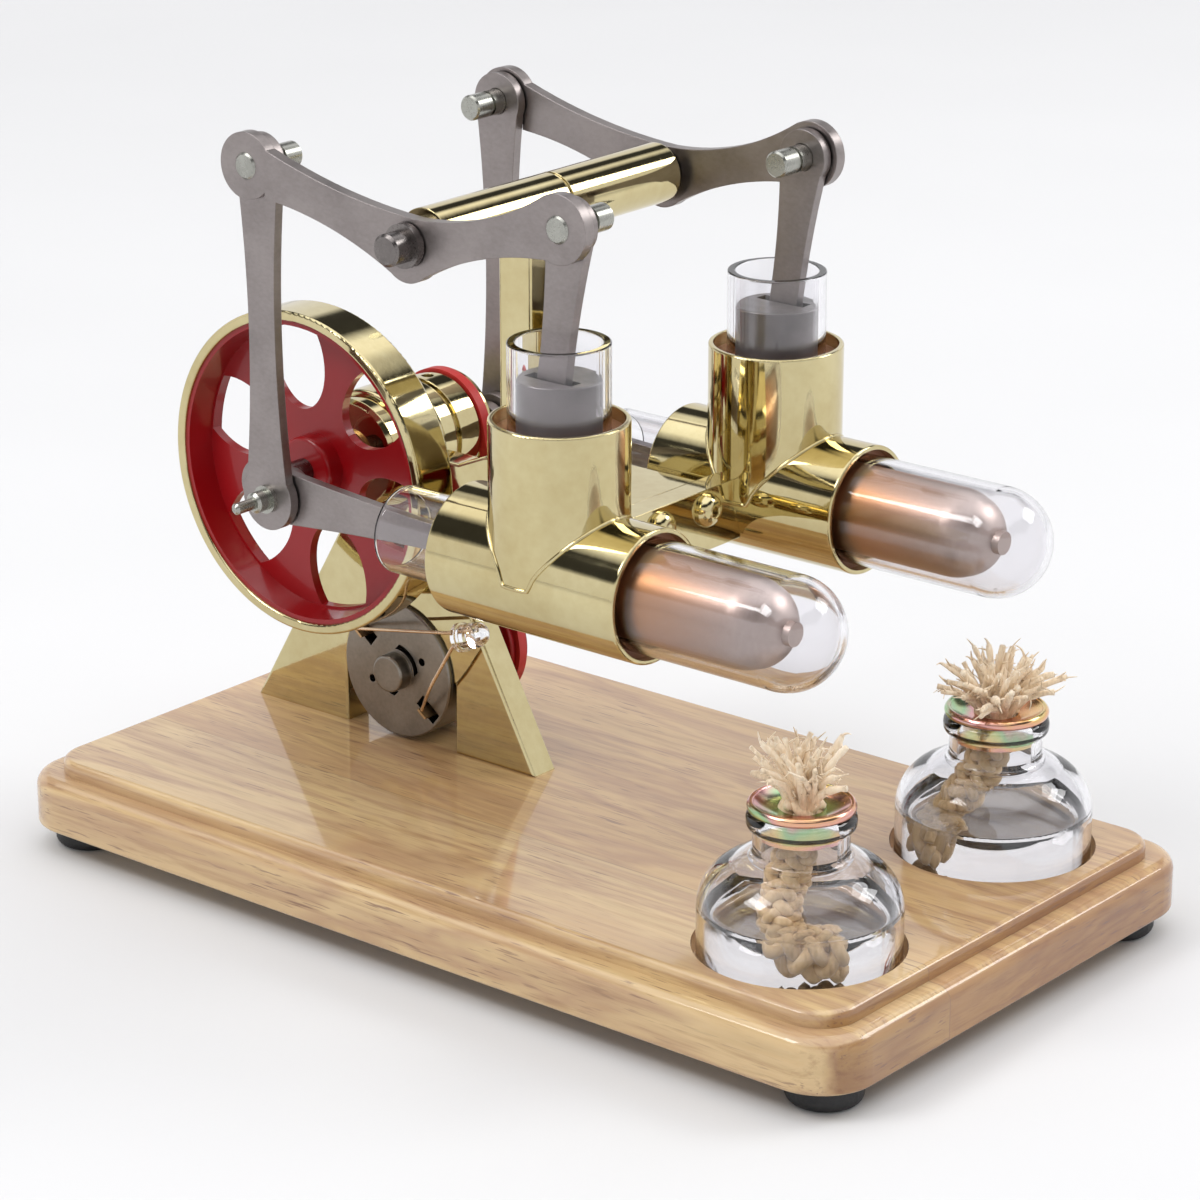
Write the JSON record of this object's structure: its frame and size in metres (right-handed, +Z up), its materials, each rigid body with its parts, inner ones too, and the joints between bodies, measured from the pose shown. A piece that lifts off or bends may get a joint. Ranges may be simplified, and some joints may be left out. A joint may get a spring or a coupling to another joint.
{
  "type": "stirling engine model",
  "caption": "Twin-cylinder hot-air engine with rocking beams, spoked flywheel, belt-driven generator and lamp, two spirit burners, on a wooden board.",
  "frame": {"origin": "middle of the board's outline, on the surface that the rubber feet stand on", "axes": "+X from the flywheel end to the burner end, along the cylinder barrels; +Z up; +Y towards the belt side"},
  "size_m": [0.2, 0.114, 0.1469],
  "materials": {
    "varnished_wood": "clear gloss varnish",
    "black_rubber": "moulded matt",
    "zinc_screw": "plated",
    "gold_plating": "mirror gold plating",
    "dark_steel": "dark polished steel",
    "clear_glass": "clear borosilicate",
    "silicone_rubber": "matt silicone",
    "bearing_bronze": "sintered bronze",
    "nickel_steel": "nickel plated sheet",
    "clear_lens": "clear epoxy",
    "tinned_wire": "tinned wire",
    "red_rubber": "moulded rubber",
    "rainbow_plating": "rainbow passivated plating",
    "cotton_wick": "braided undyed cotton",
    "spirit_fuel": "clear liquid",
    "red_lacquer": "gloss red",
    "satin_steel": "satin sheet steel",
    "graphite": "machined graphite",
    "displacer_shell": "thin drawn shell",
    "pin_steel": "turned steel"
  },
  "bodies": {
    "root": {"base_board": "varnished_wood", "rubber_feet": "black_rubber", "foot_screws": "zinc_screw", "frame_screws": "zinc_screw", "frame_plate": "gold_plating", "rocker_post": "gold_plating", "rocker_tube": "gold_plating", "rocker_shaft": "dark_steel", "rocker_collars": "dark_steel", "cross_arm": "gold_plating", "cylinder_bridge": "gold_plating", "domed_screws": "gold_plating", "front_cylinder_block": "gold_plating", "rear_cylinder_block": "gold_plating", "power_glasses": "clear_glass", "guide_glasses": "clear_glass", "hot_tubes": "clear_glass", "glass_seals": "silicone_rubber", "guide_bushes": "bearing_bronze", "bearing_housing": "gold_plating", "shaft_bushes": "bearing_bronze", "generator_can": "nickel_steel", "generator_end_cap": "nickel_steel", "generator_terminals": "bearing_bronze", "led_lens": "clear_lens", "led_leads": "tinned_wire", "drive_belt": "red_rubber", "burner_bottles": "clear_glass", "burner_caps": "rainbow_plating", "burner_wicks": "cotton_wick", "burner_fuel": "spirit_fuel"},
    "crank": {"crankshaft": "dark_steel", "flywheel_rim": "gold_plating", "flywheel_web": "red_lacquer", "belt_pulley": "gold_plating", "crank_webs": "satin_steel", "pulley_set_screw": "zinc_screw"},
    "generator_rotor": {"generator_shaft": "nickel_steel", "generator_pulley": "red_lacquer"},
    "front_beam": {"front_beam": "satin_steel", "front_beam_pins": "pin_steel"},
    "front_connecting_rod": {"front_connecting_rod": "satin_steel", "front_crank_pin": "pin_steel"},
    "front_piston_rod": {"front_piston_rod": "satin_steel"},
    "front_piston": {"front_piston": "graphite", "front_wrist_pin": "satin_steel"},
    "front_displacer": {"front_displacer": "displacer_shell", "front_displacer_rod": "satin_steel"},
    "front_displacer_link": {"front_displacer_link": "satin_steel"},
    "rear_beam": {"rear_beam": "satin_steel", "rear_beam_pins": "pin_steel"},
    "rear_connecting_rod": {"rear_connecting_rod": "satin_steel", "rear_crank_pin": "pin_steel"},
    "rear_piston_rod": {"rear_piston_rod": "satin_steel"},
    "rear_piston": {"rear_piston": "graphite", "rear_wrist_pin": "satin_steel"},
    "rear_displacer": {"rear_displacer": "displacer_shell", "rear_displacer_rod": "satin_steel"},
    "rear_displacer_link": {"rear_displacer_link": "satin_steel"}
  },
  "joints": [
    {"name": "crank_spin", "type": "hinge", "parent": "root", "child": "crank", "pos_m": [-0.0568, 0, 0.0762], "axis": [0, 1, 0], "continuous": true},
    {"name": "generator_spin", "type": "hinge", "parent": "root", "child": "generator_rotor", "pos_m": [-0.0488, 0, 0.0325], "axis": [0, 1, 0], "continuous": true},
    {"name": "front_beam_swing", "type": "hinge", "parent": "root", "child": "front_beam", "pos_m": [-0.011, 0, 0.1324], "axis": [0, 1, 0], "range_deg": [-9.5, 9.5]},
    {"name": "front_connecting_rod_turn", "type": "hinge", "parent": "front_beam", "child": "front_connecting_rod", "pos_m": [-0.0507, 0, 0.1406], "axis": [0, 1, 0], "range_deg": [-8.29, 8.29]},
    {"name": "front_piston_rod_turn", "type": "hinge", "parent": "front_beam", "child": "front_piston_rod", "pos_m": [0.0235, 0, 0.1406], "axis": [0, 1, 0], "range_deg": [-7.13, 7.13]},
    {"name": "front_piston_slide", "type": "slide", "parent": "root", "child": "front_piston", "axis": [0, 0, 1], "range_m": [-0.00556, 0.00556]},
    {"name": "front_displacer_slide", "type": "slide", "parent": "root", "child": "front_displacer", "axis": [1, 0, 0], "range_m": [-0.013, 0]},
    {"name": "front_displacer_link_turn", "type": "hinge", "parent": "front_displacer", "child": "front_displacer_link", "pos_m": [0, 0, 0.0762], "axis": [0, 1, 0], "range_deg": [-7.44, 7.44]},
    {"name": "rear_beam_swing", "type": "hinge", "parent": "root", "child": "rear_beam", "pos_m": [-0.011, 0, 0.1324], "axis": [0, 1, 0], "range_deg": [-9.51, 9.51]},
    {"name": "rear_connecting_rod_turn", "type": "hinge", "parent": "rear_beam", "child": "rear_connecting_rod", "pos_m": [-0.0507, 0, 0.1406], "axis": [0, 1, 0], "range_deg": [-8.29, 8.29]},
    {"name": "rear_piston_rod_turn", "type": "hinge", "parent": "rear_beam", "child": "rear_piston_rod", "pos_m": [0.0235, 0, 0.1406], "axis": [0, 1, 0], "range_deg": [-7.13, 7.13]},
    {"name": "rear_piston_slide", "type": "slide", "parent": "root", "child": "rear_piston", "axis": [0, 0, 1], "range_m": [-0.00556, 0.00556]},
    {"name": "rear_displacer_slide", "type": "slide", "parent": "root", "child": "rear_displacer", "axis": [1, 0, 0], "range_m": [-0.01301, 0]},
    {"name": "rear_displacer_link_turn", "type": "hinge", "parent": "rear_displacer", "child": "rear_displacer_link", "pos_m": [0, 0, 0.0762], "axis": [0, 1, 0], "range_deg": [-7.44, 7.44]}
  ],
  "couplings": [
    {"joint": "generator_spin", "follows": "crank_spin", "ratio": 0.91228},
    {"joint": "front_connecting_rod_turn", "follows": "front_beam_swing", "ratio": -0.87},
    {"joint": "front_piston_rod_turn", "follows": "front_beam_swing", "ratio": -0.748},
    {"joint": "front_piston_slide", "follows": "front_beam_swing", "m_per_rad": -0.03337},
    {"joint": "front_displacer_link_turn", "follows": "front_beam_swing", "ratio": 0.781},
    {"joint": "rear_beam_swing", "follows": "front_beam_swing", "ratio": 1},
    {"joint": "rear_displacer_slide", "follows": "front_displacer_slide", "ratio": 1},
    {"joint": "rear_connecting_rod_turn", "follows": "front_beam_swing", "ratio": -0.87},
    {"joint": "rear_piston_rod_turn", "follows": "front_beam_swing", "ratio": -0.748},
    {"joint": "rear_piston_slide", "follows": "front_beam_swing", "m_per_rad": -0.03337},
    {"joint": "rear_displacer_link_turn", "follows": "front_beam_swing", "ratio": 0.781}
  ]
}
